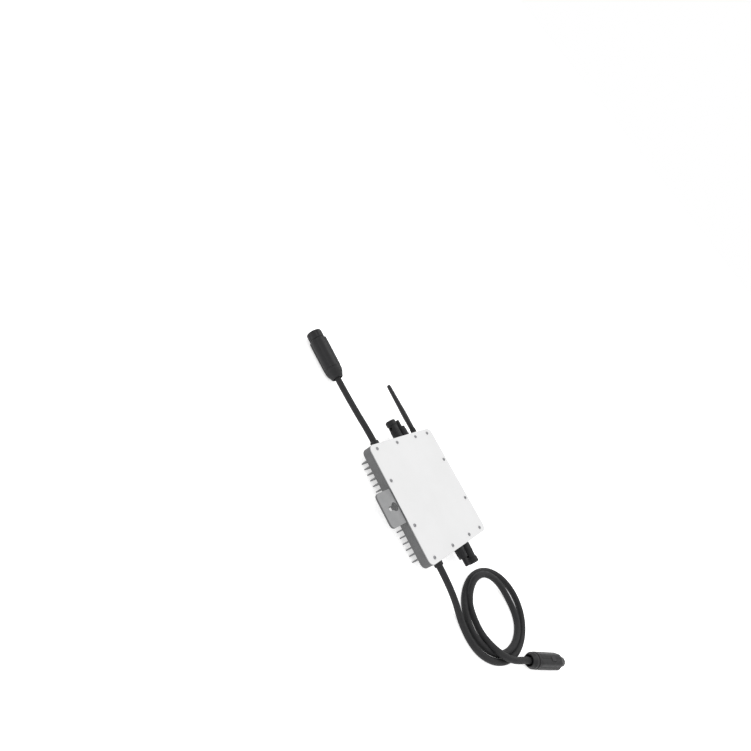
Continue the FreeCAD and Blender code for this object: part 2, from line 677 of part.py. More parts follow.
def route_wire(points):
    """Straight runs joined by tangent arcs, each as large as its two runs allow."""
    corners = [Vector(*point) for point in points]
    edges = []
    radii = []
    start = corners[0]
    for before, corner, after in zip(corners, corners[1:], corners[2:]):
        run_in = corner - before
        run_out = after - corner
        turn = run_in.getAngle(run_out)
        reach = 0.45 * min(run_in.Length, run_out.Length)
        radii.append(reach / math.tan(turn / 2))
        way_in = run_in.normalize()
        way_out = run_out.normalize()
        first = corner - way_in * reach
        last = corner + way_out * reach
        inward = (way_out - way_in).normalize()
        centre = corner + inward * (radii[-1] / math.cos(turn / 2))
        middle = centre - inward * radii[-1]
        edges.append(Part.LineSegment(start, first).toShape())
        edges.append(Part.Arc(first, middle, last).toShape())
        start = last
    edges.append(Part.LineSegment(start, corners[-1]).toShape())
    return Part.Wire(edges), radii


def tube(points, radius):
    """A round tube along a route, with its volume compared with section times length."""
    path, radii = route_wire(points)
    start = path.Edges[0].Vertexes[0].Point
    section = Part.Wire(Part.makeCircle(radius, start, path.Edges[0].tangentAt(0)))
    solid = path.makePipeShell([section], True, False)
    share = solid.Volume / (math.pi * radius**2 * path.Length)
    print(f"length {path.Length:.1f}, radii {[round(r) for r in radii]}, volume share {share:.4f}")
    assert abs(share - 1) < 0.01
    return solid


def make_cable():
    """The trunk cable's free stretches, and one solid with the outer shape of its coil."""
    routes = (("ac_short_cable", SHORT_CABLE), ("ac_lead_cable", LEAD_CABLE), ("ac_tail_cable", TAIL_CABLE))
    for node, points in routes:
        item = doc.addObject("Part::Feature", node + "_tube")
        item.Shape = tube(points, VALUE["cable_radius"])
        keep(node, item)
    size = VALUE
    high = 2 * size["cable_radius"]
    middle = Vector(size["coil_x"], size["coil_y"], 0)
    outer = Part.Ellipse(middle, size["coil_wide"], size["coil_tall"])
    inside = Vector(size["hole_x"], size["hole_y"], 0)
    top = inside + Vector(0, size["hole_tall"], 0)
    right = inside + Vector(size["hole_wide"], 0, 0)
    inner = Part.Ellipse(top, right, inside)
    rings = [Part.Face(Part.Wire(curve.toShape())) for curve in (outer, inner)]
    band = rings[0].cut(rings[1]).extrude(Vector(0, 0, high))
    item = doc.addObject("Part::Feature", "ac_cable_coil_ring")
    item.Shape = band.makeFillet(2.5, [edge for edge in band.Edges if edge.BoundBox.ZLength < 0.01])
    keep("ac_cable_coil", item)


# ---------------------------------------------------------------- inside the case


def board_posts():
    """Circuit board posts as x, y positions."""
    corners = [(i * 82, j * 86) for i in (-1, 1) for j in (-1, 1)]
    return corners + [(-20, 0), (50, 0)]


def make_board():
    """Circuit board, its screws, and the pads that carry its heat to the case."""
    body = new_body("circuit_board")
    sketch = new_sketch(body, offset="board_z")
    rectangle(sketch, "0", "0", "board_width / 2", "board_length / 2")
    extrude(body, sketch, "board_top - board_z")
    sketch = new_sketch(body, offset="board_top")
    for x, y in board_posts():
        circle(sketch, x, y, "1.7")
    extrude(body, sketch, "board_top - board_z", cut=True)
    keep("circuit_board", body)
    outline = [("0", "-3"), ("1.25", "-3"), ("1.25", "0"), ("2.6", "0")]
    outline += [("2.6", "0.9"), ("1.9", "1.5"), ("0", "1.5")]
    master = turned("board_screw", outline)
    top = VALUE["board_top"]
    copies("board_screws", master, [Placement(Vector(x, y, top), Rotation()) for x, y in board_posts()])
    pads = [block("12", side * 44, "floor_z", "64", "50", "board_z - floor_z") for side in (1, -1)]
    group("heat_pads", pads)


def make_transformers():
    """Two low ferrite transformers: each a two-window core round one flat winding."""
    cores = []
    windings = []
    for side in (1, -1):
        x, y = "12", f"{side * 40}"
        core = block(x, y, "board_top", "40", "32", "11.6")
        for offset in (-10, 10):
            core = cut(core, block(f"{x} + {offset}", y, "board_top + 2.4", "8", "34", "6.8"))
        cores.append(core)
        outer = block(x, y, "board_top + 2.6", "27.4", "46", "6.4")
        windings.append(cut(outer, block(x, y, "board_top + 2", "12.6", "32.4", "8")))
    group("transformer_cores", cores)
    group("transformer_windings", windings)


def make_filter():
    """Mains side: film capacitors, relay, ring choke and the AC terminal blocks."""
    group("film_capacitors", [block("-42", side * 24, "board_top", "14", "30", "12") for side in (1, -1)])
    keep("mains_relay", block("-44", "-66", "board_top", "24", "16", "11"))
    ring = turned("choke_core", [("6", "1"), ("11", "1"), ("11", "8"), ("6", "8")])
    core = keep("choke_core", place(ring, "-44", "66", "board_top"))
    halves = [cut(block(f"{-44 + i * 8.7}", "66", "board_top", "7", "15", "9"), core) for i in (-1, 1)]
    group("choke_windings", halves)
    terminals = [block("gland_x", side * 86, "board_top", "14", "14", "10") for side in (1, -1)]
    group("ac_terminal_blocks", terminals)
    wires = []
    for side in (1, -1):
        for offset in (-3, 0, 3):
            wires.append(rod(f"gland_x + {offset}", side * 93, "port_z", "1.2", "10", AWAY, -90 * side))
    group("ac_inner_wires", wires)


def make_power_stage():
    """DC side: input capacitors, copper tags, power switches and control chips."""
    cans = []
    tags = []
    for side in (1, -1):
        for x in (-2, 27):
            for y in (70, 83):
                cans.append(rod(x, side * y, "board_top + 6.1", "6", "25", Vector(0, 1, 0), 90))
        for x in ("socket_left", "socket_right"):
            tags.append(block(x, f"{side * 93.5}", "board_top", "5", "3", "5"))
    group("input_capacitors", cans)
    group("dc_tags", tags)
    spots = [(x, side * y) for x in (58, 74) for y in (18, 34) for side in (1, -1)]
    group("power_switches", [block(x, y, "board_top", "10", "12", "4.4") for x, y in spots])
    chips = [("4", "12", "12"), ("24", "7", "7"), ("-66", "9", "14")]
    group("control_chips", [block(x, "0", "board_top", wide, long, "1.6") for x, wide, long in chips])


def make_radio():
    """Radio board under its shield can, joined to the antenna jack by a short coax."""
    keep("radio_board", block("antenna_x", "82", "board_top", "20", "26", "1.2"))
    keep("radio_shield", block("antenna_x", "78", "board_top + 1.2", "14", "16", "2.4"))
    keep("antenna_coax", rod("antenna_x", "88", "port_z", "0.9", "18", AWAY, -90))


def check_objects():
    """Stop if any object failed, or any sub-part's shape is null or not valid."""
    for obj in doc.Objects:
        bad = [state for state in obj.State if state in ("Invalid", "Error")]
        assert not bad, f"{obj.Name} {obj.Label} {obj.State}"
    for node, obj in parts.items():
        assert not obj.Shape.isNull() and obj.Shape.isValid(), node


def write_parts():
    os.makedirs("parts", exist_ok=True)
    for node, obj in parts.items():
        obj.Shape.exportStep(f"parts/{node}.step")
        print(f"{node}: {len(obj.Shape.Solids)} solid(s), {obj.Shape.Volume / 1000:.2f} cm3")


fill_sheet()
for make in (make_case, make_cover, make_gasket, make_cover_screws, make_sockets, make_glands, make_antenna):
    make()
for make in (make_plug_a, make_plug_b, make_cable):
    make()
for make in (make_board, make_transformers, make_filter, make_power_stage, make_radio):
    make()
doc.recompute()
check_objects()
write_parts()
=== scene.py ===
import json
import math

import bmesh
import bpy
from mathutils import Matrix, Vector


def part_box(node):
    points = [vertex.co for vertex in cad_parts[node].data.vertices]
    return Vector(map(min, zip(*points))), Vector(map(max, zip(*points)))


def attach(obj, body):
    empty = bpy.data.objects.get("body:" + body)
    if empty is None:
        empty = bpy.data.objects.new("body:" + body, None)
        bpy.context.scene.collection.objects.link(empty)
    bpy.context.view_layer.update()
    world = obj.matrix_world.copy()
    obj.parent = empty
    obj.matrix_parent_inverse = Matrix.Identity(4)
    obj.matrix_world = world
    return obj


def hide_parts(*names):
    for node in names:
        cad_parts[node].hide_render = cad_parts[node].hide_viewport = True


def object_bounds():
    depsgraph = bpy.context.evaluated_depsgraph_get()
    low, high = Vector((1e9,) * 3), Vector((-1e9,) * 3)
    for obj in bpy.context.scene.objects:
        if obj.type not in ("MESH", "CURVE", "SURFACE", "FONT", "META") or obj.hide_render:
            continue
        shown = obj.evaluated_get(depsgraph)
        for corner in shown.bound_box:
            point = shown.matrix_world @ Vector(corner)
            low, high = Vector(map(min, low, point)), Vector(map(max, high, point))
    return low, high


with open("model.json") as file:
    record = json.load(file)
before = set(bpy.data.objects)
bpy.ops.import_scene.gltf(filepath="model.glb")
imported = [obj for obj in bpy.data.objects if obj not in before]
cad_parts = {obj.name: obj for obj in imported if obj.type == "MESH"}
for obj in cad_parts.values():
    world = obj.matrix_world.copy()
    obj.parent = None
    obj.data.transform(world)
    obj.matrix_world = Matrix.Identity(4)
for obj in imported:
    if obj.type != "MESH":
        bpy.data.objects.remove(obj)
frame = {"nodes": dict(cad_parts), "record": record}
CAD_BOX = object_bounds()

# A micro inverter on a white floor: the cast case, cover and panel sockets come from the
# frame, and the trunk cable, its two connectors, the glands and the antenna are made here.
# Metres throughout; outlines of turned pieces are in millimetres along the piece's own axis.

MM = 0.001
SHARP_ANGLE = math.radians(38)
ON_INVERTER = "inverter"
scene = bpy.context.scene
collection = scene.collection


# ---------------------------------------------------------------- camera

CAMERA_PLACE = Vector((-0.8964, -0.0407, 0.6488))
CAMERA_RIGHT = Vector((0.58672, -0.46413, 0.66358))
CAMERA_UP = Vector((0.07830, 0.84813, 0.52397))
CAMERA_LENS = 27.02


def make_camera():
    """Looks down on the case from the ear's side, tilted as the object hangs in its picture."""
    camera = bpy.data.objects.new("camera", bpy.data.cameras.new("camera"))
    collection.objects.link(camera)
    right = CAMERA_RIGHT.normalized()
    up = CAMERA_UP.normalized()
    back = right.cross(up)
    turn = Matrix((right, up, back)).transposed().to_4x4()
    camera.matrix_world = Matrix.Translation(CAMERA_PLACE) @ turn
    camera.data.lens = CAMERA_LENS
    camera.data.sensor_width = 36
    scene.camera = camera


# ---------------------------------------------------------------- trunk cable

CABLE_RADIUS = 0.0061

# Points of the free stretches, as in the CAD model or within 4 mm of them.
SHORT_CABLE = [(-0.071, 0.103, 0.0285), (-0.071, 0.140, 0.0285), (-0.0700, 0.178, 0.0248)]
SHORT_CABLE += [(-0.0679, 0.216, 0.0214), (-0.0653, 0.255, 0.0184), (-0.065, 0.2955, 0.018)]
LEAD_CABLE = [(-0.071, -0.103, 0.0285), (-0.071, -0.140, 0.0285), (-0.061, -0.184, 0.017)]
LEAD_CABLE += [(-0.060, -0.218, 0.0061), (-0.064, -0.246, 0.0061)]
TAIL_CABLE = [(-0.0270, -0.252, 0.0064), (-0.0272, -0.278, 0.0128), (-0.0168, -0.3055, 0.0186)]
TAIL_CABLE += [(0.006, -0.3263, 0.019), (0.04687, -0.34448, 0.0157), (0.07789, -0.3607, 0.0157)]

# The coil: where its centre line turns back, each half a turn after the last. X starts at
# the lead and Y a quarter turn before it. At the case's side the second turn climbs on to
# the first, and it is skewed a little against it.
COIL_X = (-0.0650, 0.1320, -0.0462, 0.1056, -0.0268)
COIL_Y = (-0.1650, -0.3264, -0.1732, -0.3149, -0.1775, -0.3050)
COIL_TURNS = 1.95
COIL_STEPS = 20
CLIMB_START = 1.52
CLIMB_TURNS = 0.47
CLIMB_HEIGHT = 0.0126
SKEW = 0.13
SKEW_START = 1.15
SKEW_TURNS = 0.25
SKEW_MIDDLE = 0.0365


def swing(limits, halves):
    """A smooth path back and forth between limits that come one per half turn."""
    first = min(int(halves), len(limits) - 2)
    low, high = limits[first], limits[first + 1]
    return (low + high) / 2 + (low - high) / 2 * math.cos(math.pi * (halves - first))


def coil_points():
    """The coil's turns, counter-clockwise from the case's side of the lead."""
    points = []
    for step in range(1, round(COIL_TURNS * COIL_STEPS) + 1):
        turns = step / COIL_STEPS
        share = min(1.0, max(0.0, (turns - CLIMB_START) / CLIMB_TURNS))
        climb = CLIMB_HEIGHT * math.sin(math.pi * share)
        skew = SKEW * min(1.0, max(0.0, (turns - SKEW_START) / SKEW_TURNS))
        x = swing(COIL_X, 2 * turns)
        y = swing(COIL_Y, 2 * turns + 0.5) - skew * (x - SKEW_MIDDLE)
        points.append((x, y, CABLE_RADIUS + climb))
    return points


def make_cable(name, points, nodes):
    """A round cable along a smooth spline, which stands for its CAD solids."""
    curve = bpy.data.curves.new(name, "CURVE")
    curve.dimensions = "3D"
    curve.resolution_u = 8
    curve.bevel_depth = CABLE_RADIUS
    curve.bevel_resolution = 6
    curve.use_fill_caps = True
    spline = curve.splines.new("NURBS")
    spline.points.add(len(points) - 1)
    for point, place in zip(spline.points, points):
        point.co = (*place, 1)
    spline.order_u = 3
    spline.use_endpoint_u = True
    cable = bpy.data.objects.new(name, curve)
    collection.objects.link(cable)
    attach(cable, ON_INVERTER)
    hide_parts(*nodes)
    curve.materials.append(surfaces["cable_jacket"])
    return cable


# ---------------------------------------------------------------- surfaces


class Recipe:
    """A material whose nodes work in the object's own coordinates, in metres."""

    def __init__(self, name):
        self.material = bpy.data.materials.new(name)
        self.material.use_nodes = True
        self.nodes = self.material.node_tree.nodes
        self.links = self.material.node_tree.links
        self.shader = self.nodes["Principled BSDF"]
        coordinates = self.nodes.new("ShaderNodeTexCoord")
        self.place = coordinates.outputs["Object"]
        self.normal = coordinates.outputs["Normal"]

    def noise(self, size, detail=4.0, roughness=0.55):
        """Soft blotches of about this size, from 0 to 1."""
        node = self.nodes.new("ShaderNodeTexNoise")
        node.inputs["Scale"].default_value = 1 / size
        node.inputs["Detail"].default_value = detail
        node.inputs["Roughness"].default_value = roughness
        self.links.new(self.place, node.inputs["Vector"])
        return node.outputs["Fac"]

    def cells(self, size):
        """Rounded cells of about this size, 0 at their middles."""
        node = self.nodes.new("ShaderNodeTexVoronoi")
        node.inputs["Scale"].default_value = 1 / size
        self.links.new(self.place, node.inputs["Vector"])
        return node.outputs["Distance"]

    def spread(self, value, low, high, start=0.35, end=0.65):
        """A value between start and end, stretched to run from low to high."""
        node = self.nodes.new("ShaderNodeMapRange")
        limits = (("From Min", start), ("From Max", end), ("To Min", low), ("To Max", high))
        for socket, number in limits:
            node.inputs[socket].default_value = number
        self.links.new(value, node.inputs["Value"])
        return node.outputs["Result"]

    def vertical(self, vector):
        """The Z of a place or a normal."""
        node = self.nodes.new("ShaderNodeSeparateXYZ")
        self.links.new(vector, node.inputs["Vector"])
        return node.outputs["Z"]

    def product(self, first, second):
        """Two values multiplied."""
        node = self.nodes.new("ShaderNodeMath")
        node.operation = "MULTIPLY"
        self.links.new(first, node.inputs[0])
        self.links.new(second, node.inputs[1])
        return node.outputs["Value"]

    def blend(self, share, first, second):
        """A colour between two others; each is a colour or a node's output."""
        node = self.nodes.new("ShaderNodeMix")
        node.data_type = "RGBA"
        self.links.new(share, node.inputs["Factor"])
        for socket, colour in zip(node.inputs[6:8], (first, second)):
            if isinstance(colour, tuple):
                socket.default_value = (*colour, 1)
            else:
                self.links.new(colour, socket)
        return node.outputs[2]

    def rounded_normal(self, radius):
        """The surface's normal as if its edges were rounded to this radius."""
        bevel = self.nodes.new("ShaderNodeBevel")
        bevel.samples = 4
        bevel.inputs["Radius"].default_value = radius
        return bevel.outputs["Normal"]

    def edge_mask(self, radius):
        """Near 1 along outside and inside edges, 0 on flat faces."""
        plain = self.nodes.new("ShaderNodeNewGeometry")
        dot = self.nodes.new("ShaderNodeVectorMath")
        dot.operation = "DOT_PRODUCT"
        self.links.new(self.rounded_normal(radius), dot.inputs[0])
        self.links.new(plain.outputs["Normal"], dot.inputs[1])
        return self.spread(dot.outputs["Value"], 1.0, 0.0, start=0.80, end=0.995)

    def relief(self, layers, edge_radius):
        """Bumps from (height value, depth) pairs, over edges that are eased a little."""
        normal = self.rounded_normal(edge_radius)
        for height, depth in layers:
            bump = self.nodes.new("ShaderNodeBump")
            bump.inputs["Distance"].default_value = depth
            self.links.new(height, bump.inputs["Height"])
            self.links.new(normal, bump.inputs["Normal"])
            normal = bump.outputs["Normal"]
        self.links.new(normal, self.shader.inputs["Normal"])

    def set(self, **numbers):
        """Fixed values on the shader's own sockets."""
        for socket, number in numbers.items():
            self.shader.inputs[socket.replace("_", " ")].default_value = number

    def join(self, value, socket):
        """A node's output into one of the shader's sockets."""
        self.links.new(value, self.shader.inputs[socket])


def scaled(colour, factor):
    """A colour made darker or lighter."""
    return tuple(min(1.0, channel * factor) for channel in colour)


PATCH_SHADE = 0.8
GRAIN_LIGHT = 1.25
SURFACE_EASE = 0.0003


def make_surface(name, colour, patch=0.010, rough=(0.45, 0.6), grain=0.0005, depth=0.00003,
                 metal=0.0, specular=0.5, worn=None, lighter=1.6):
    """Patchy colour, uneven roughness and a fine grain in relief, with edges rubbed if worn."""
    recipe = Recipe(name)
    patches = recipe.noise(patch)
    fine = recipe.noise(grain, detail=2.0)
    tone = recipe.blend(recipe.spread(patches, 0, 1), scaled(colour, PATCH_SHADE), colour)
    tone = recipe.blend(recipe.spread(fine, 0, 0.25), tone, scaled(colour, GRAIN_LIGHT))
    if worn:
        broken = recipe.spread(recipe.noise(patch / 4), 0, 0.6)
        rubbed = recipe.product(recipe.edge_mask(worn), broken)
        tone = recipe.blend(rubbed, tone, scaled(colour, lighter))
    recipe.join(tone, "Base Color")
    recipe.join(recipe.spread(recipe.noise(patch / 3), rough[0], rough[1]), "Roughness")
    recipe.relief([(fine, depth), (patches, depth * 1.5)], SURFACE_EASE)
    recipe.set(Metallic=metal, Specular_IOR_Level=specular)
    return recipe.material


def cast_case():
    """Shot-blasted casting: mottled grey walls, with painted light on the finned underside, which is paler
    below 15 mm, and on faces turned up, such as the ear and rim, which are lighter as if lit from above.
    """
    recipe = Recipe("cast_case")
    mottle = recipe.noise(0.009, detail=6.0, roughness=0.7)
    pits = recipe.cells(0.0011)
    grain = recipe.noise(0.0005, detail=2.0)
    walls = recipe.blend(recipe.spread(mottle, 0, 1), (0.062, 0.063, 0.064), (0.088, 0.089, 0.091))
    # Painted light: below 15 mm, where the fins are, the casting is painted paler, standing in for the
    # light seen between them.
    painted_fin_light = recipe.spread(recipe.vertical(recipe.place), 0.7, 0, start=0.015, end=0.019)
    walls = recipe.blend(painted_fin_light, walls, (0.200, 0.202, 0.205))
    broad = recipe.spread(recipe.noise(0.02), 0, 1)
    # Painted light: faces turned up, such as the ear and rim, get this lighter tone and the side walls a
    # darker one, as if lit from above.
    lit_top_tone = recipe.blend(broad, (0.228, 0.230, 0.233), (0.258, 0.260, 0.263))
    upward = recipe.spread(recipe.vertical(recipe.normal), 0, 1, start=0.5, end=0.9)
    tone = recipe.blend(upward, walls, lit_top_tone)
    tone = recipe.blend(recipe.spread(grain, 0, 0.2), tone, (0.36, 0.36, 0.36))
    rubbed = recipe.product(recipe.edge_mask(0.0008), recipe.spread(mottle, 0.1, 0.5))
    tone = recipe.blend(rubbed, tone, (0.48, 0.48, 0.49))
    recipe.join(tone, "Base Color")
    recipe.join(recipe.spread(mottle, 0.48, 0.66), "Roughness")
    recipe.relief([(grain, 0.00003), (pits, 0.00004), (mottle, 0.00008)], 0.0005)
    recipe.set(Metallic=0.15, Specular_IOR_Level=0.35)
    return recipe.material


def cover_paint():
    """Off-white powder coat with a faint orange peel; the sheet's cut edge is left grey."""
    recipe = Recipe("cover_paint")
    broad = recipe.noise(0.06, detail=3.0)
    peel = recipe.noise(0.0014, detail=3.0)
    fine = recipe.noise(0.0004, detail=1.0)
    tone = recipe.blend(recipe.spread(broad, 0, 1), (0.663, 0.663, 0.663), (0.683, 0.683, 0.685))
    tone = recipe.blend(recipe.spread(fine, 0, 0.12), tone, (0.72, 0.72, 0.72))
    broken = recipe.spread(recipe.noise(0.004), 0.0, 0.35)
    rubbed = recipe.product(recipe.edge_mask(0.0006), broken)
    tone = recipe.blend(rubbed, tone, (0.52, 0.52, 0.53))
    upward = recipe.spread(recipe.vertical(recipe.normal), 0, 1, start=0.3, end=0.8)
    tone = recipe.blend(upward, (0.26, 0.26, 0.265), tone)
    recipe.join(tone, "Base Color")
    recipe.join(recipe.spread(peel, 0.42, 0.56), "Roughness")
    recipe.relief([(peel, 0.00002), (fine, 0.000008)], 0.0005)
    recipe.set(Specular_IOR_Level=0.35)
    return recipe.material


def cable_jacket():
    """Matt trunk cable with dull highlights: close woven bumps, painted lighter on top and darker in the
    hollows between them as painted highlight and shade, and paler scuffs.
    """
    recipe = Recipe("cable_jacket")
    weave = recipe.cells(0.0011)
    patches = recipe.noise(0.012)
    scuffs = recipe.noise(0.003, detail=5.0, roughness=0.75)
    # Painted shade and highlight: the weave is painted darker in the hollows between its bumps and lighter
    # on their tops.
    weave_shade = recipe.spread(weave, 0, 1, start=0.1, end=0.6)
    tone = recipe.blend(weave_shade, (0.025, 0.025, 0.026), (0.010, 0.010, 0.011))
    tone = recipe.blend(recipe.spread(patches, 0, 0.5), tone, (0.020, 0.020, 0.021))
    tone = recipe.blend(recipe.spread(scuffs, 0, 0.35, start=0.58, end=0.75), tone, (0.060, 0.060, 0.060))
    recipe.join(tone, "Base Color")
    recipe.join(recipe.spread(scuffs, 0.62, 0.80), "Roughness")
    recipe.relief([(weave, -0.00012), (scuffs, 0.00002)], 0.0002)
    recipe.set(Specular_IOR_Level=0.30)
    return recipe.material


def board_laminate():
    """Green solder mask with a faint glass weave and small copper pads."""
    recipe = Recipe("board_laminate")
    pads = recipe.cells(0.0042)
    weave = recipe.noise(0.0012, detail=1.0)
    tone = recipe.blend(recipe.spread(weave, 0, 1), (0.012, 0.105, 0.040), (0.018, 0.145, 0.058))
    tone = recipe.blend(recipe.spread(pads, 1, 0, start=0.10, end=0.16), tone, (0.55, 0.45, 0.25))
    recipe.join(tone, "Base Color")
    recipe.join(recipe.spread(weave, 0.3, 0.45), "Roughness")
    recipe.relief([(weave, 0.00001)], 0.0001)
    return recipe.material


def make_surfaces():
    """Every material slot's surface, by the slot's name."""
    black = {"specular": 0.28, "rough": (0.46, 0.62), "worn": 0.0006, "lighter": 3.2}
    made = {
        "cast_case": cast_case(),
        "cover_paint": cover_paint(),
        "cable_jacket": cable_jacket(),
        "board_laminate": board_laminate(),
        "plug_plastic": make_surface("plug_plastic", (0.014, 0.014, 0.015), **black),
        "collar_plastic": make_surface("collar_plastic", (0.012, 0.012, 0.013), **black),
        "button_plastic": make_surface("button_plastic", (0.027, 0.027, 0.028), **black),
        "socket_plastic": make_surface("socket_plastic", (0.009, 0.009, 0.010), **black),
        "nut_plastic": make_surface("nut_plastic", (0.018, 0.018, 0.019), **black),
        "gland_plastic": make_surface("gland_plastic", (0.015, 0.015, 0.016), **black),
        "antenna_collar": make_surface("antenna_collar", (0.014, 0.014, 0.015), **black),
        "insert_plastic": make_surface("insert_plastic", (0.020, 0.020, 0.021), specular=0.25),
        "antenna_rubber": make_surface(
            "antenna_rubber", (0.017, 0.017, 0.018), rough=(0.42, 0.55), grain=0.0003, specular=0.3),
        "seal_rubber": make_surface("seal_rubber", (0.018, 0.018, 0.018), rough=(0.7, 0.85), specular=0.2),
        "screw_steel": make_surface(
            "screw_steel", (0.30, 0.30, 0.31), patch=0.0015, rough=(0.28, 0.5), metal=0.85, worn=0.0003),
        "contact_metal": make_surface("contact_metal", (0.72, 0.70, 0.66), rough=(0.18, 0.35), metal=1.0),
        "jack_metal": make_surface("jack_metal", (0.78, 0.58, 0.26), rough=(0.2, 0.35), metal=1.0),
        "thermal_pad": make_surface("thermal_pad", (0.36, 0.50, 0.62), rough=(0.7, 0.85), specular=0.2),
        "ferrite": make_surface("ferrite", (0.055, 0.052, 0.052), rough=(0.55, 0.75), grain=0.0004),
        "winding_tape": make_surface("winding_tape", (0.70, 0.50, 0.06), rough=(0.25, 0.4), patch=0.006),
        "film_case": make_surface("film_case", (0.62, 0.44, 0.05), rough=(0.2, 0.35), worn=0.0005),
        "relay_case": make_surface("relay_case", (0.030, 0.030, 0.032), rough=(0.35, 0.5)),
        "winding_copper": make_surface(
            "winding_copper", (0.62, 0.25, 0.10), rough=(0.2, 0.4), grain=0.0009, depth=0.0002, metal=1.0),
        "terminal_plastic": make_surface("terminal_plastic", (0.05, 0.26, 0.12), rough=(0.4, 0.55)),
        "wire_insulation": make_surface("wire_insulation", (0.20, 0.11, 0.05), rough=(0.35, 0.5)),
        "capacitor_sleeve": make_surface("capacitor_sleeve", (0.020, 0.045, 0.120), rough=(0.2, 0.35)),
        "tag_copper": make_surface("tag_copper", (0.70, 0.40, 0.22), rough=(0.25, 0.45), metal=1.0),
        "chip_epoxy": make_surface("chip_epoxy", (0.022, 0.022, 0.022), rough=(0.55, 0.7)),
        "shield_tin": make_surface("shield_tin", (0.66, 0.66, 0.66), rough=(0.22, 0.42), metal=1.0),
        "coax_jacket": make_surface("coax_jacket", (0.03, 0.03, 0.03), rough=(0.5, 0.65)),
    }
    return made


def dress_frame():
    """Give every CAD node the surface of its material slot."""
    for part in frame["record"]["subparts"]:
        for place in frame["nodes"][part["node"]].material_slots:
            place.material = surfaces[part["material_slot"]]


# ---------------------------------------------------------------- turned pieces


EASE_STEPS = 3


def eased(outline, radius):
    """The outline of (radius, height) points with each corner rounded; the ends stay."""
    points = [Vector(point) for point in outline]
    rounded = [points[0]]
    for before, corner, after in zip(points, points[1:], points[2:]):
        reach = min(radius, 0.45 * (before - corner).length, 0.45 * (after - corner).length)
        first = corner + (before - corner).normalized() * reach
        last = corner + (after - corner).normalized() * reach
        for step in range(EASE_STEPS + 1):
            share = step / EASE_STEPS
            rounded.append(first * (1 - share) ** 2 + corner * 2 * share * (1 - share) + last * share**2)
    rounded.append(points[-1])
    return rounded


def sampled(outline, gap):
    """The outline with long stretches divided, so that a section can change along them."""
    points = [outline[0]]
    for before, after in zip(outline, outline[1:]):
        parts = max(1, math.ceil((after - before).length / gap))
        points += [before.lerp(after, part / parts) for part in range(1, parts + 1)]
    return points


def turn_piece(name, outline, place, body, slot, section=None, steps=96, ease=0.5, gap=1.5, closed=True):
    """A turned piece; section(angle, radius, height) gives the radius that is really there."""
    rings = sampled(eased(outline, ease), gap)
    mesh = bpy.data.meshes.new(name)
    vertices = []
    for radius, height in rings:
        for step in range(steps):
            angle = 2 * math.pi * step / steps
            real = section(angle, radius, height) if section else radius
            vertices.append((real * MM * math.cos(angle), real * MM * math.sin(angle), height * MM))
    faces = []
    count = len(rings)
    for ring in range(count if closed else count - 1):
        for step in range(steps):
            low, high = ring * steps, (ring + 1) % count * steps
            across = (step + 1) % steps
            faces.append((low + step, low + across, high + across, high + step))
    mesh.from_pydata(vertices, [], faces)
    work = bmesh.new()
    work.from_mesh(mesh)
    bmesh.ops.remove_doubles(work, verts=work.verts, dist=1e-7)
    bmesh.ops.recalc_face_normals(work, faces=work.faces)
    work.to_mesh(mesh)
    work.free()
    mesh.transform(place)
    return finish_piece(name, mesh, body, slot)


def finish_piece(name, mesh, body, slot):
    """Smooth shading up to sharp edges, a surface, and a body to ride on."""
    mesh.polygons.foreach_set("use_smooth", [True] * len(mesh.polygons))
    mesh.set_sharp_from_angle(angle=SHARP_ANGLE)
    mesh.materials.append(surfaces[slot])
    piece = bpy.data.objects.new(name, mesh)
    collection.objects.link(piece)
    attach(piece, body)
    return piece


RIB_FLANK = 0.06


def ribs(count, proud, low, high, duty, soft=1.2):
    """A section with ribs between two heights, duty of a turn wide; proud below 0 makes slots."""

    def section(angle, radius, height):
        along = min(1.0, max(0.0, (height - low) / soft), max(0.0, (high - height) / soft))
        turn = (angle * count / (2 * math.pi)) % 1
        across = min(1.0, max(0.0, (duty / 2 - abs(turn - 0.5)) / RIB_FLANK))
        return radius + proud * along * across

    return section


def axis_place(origin, along):
    """A frame whose Z runs along a direction, with its X as near to upward as it can be."""
    z = Vector(along).normalized()
    upward = Vector((0, 0, 1))
    x = (upward - z * upward.dot(z)).normalized()
    y = z.cross(x)
    return Matrix.Translation(Vector(origin)) @ Matrix((x, y, z)).transposed().to_4x4()


def middle(node):
    """The centre of a CAD node's box."""
    low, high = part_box(node)
    return (low + high) / 2


# ---------------------------------------------------------------- AC connectors

NUT_LONG = 22
GRIP_WAVES = 36
GRIP_DEPTH = 0.35
GRIP_FADE = 1.2
CORNER_SWELL = 1.08
CORNER_ROUNDING = 0.42
WIDEST_BORE = 12.5
PLUG_B_HEADING = math.radians(-27.6)
PLUG_B_SEAL_MIDDLE = 21.5
BUTTON_POCKET = ((9.6, -4.2, 55.8), (19.6, 4.2, 68.2))


def six_flats(angle, flat):
    """Radius of a six-sided section with well rounded corners, from its half width on flats."""
    fold = (angle + math.pi / 6) % (math.pi / 3) - math.pi / 6
    corner = CORNER_SWELL - CORNER_ROUNDING * (math.pi / 6 - abs(fold)) ** 2
    return flat * min(1 / math.cos(fold), corner)


def barrel_section(six_until):
    """Six-sided up to a height, and round beyond it and inside the bore."""

    def section(angle, radius, height):
        if height > six_until or radius < WIDEST_BORE:
            return radius
        return six_flats(angle, radius)

    return section


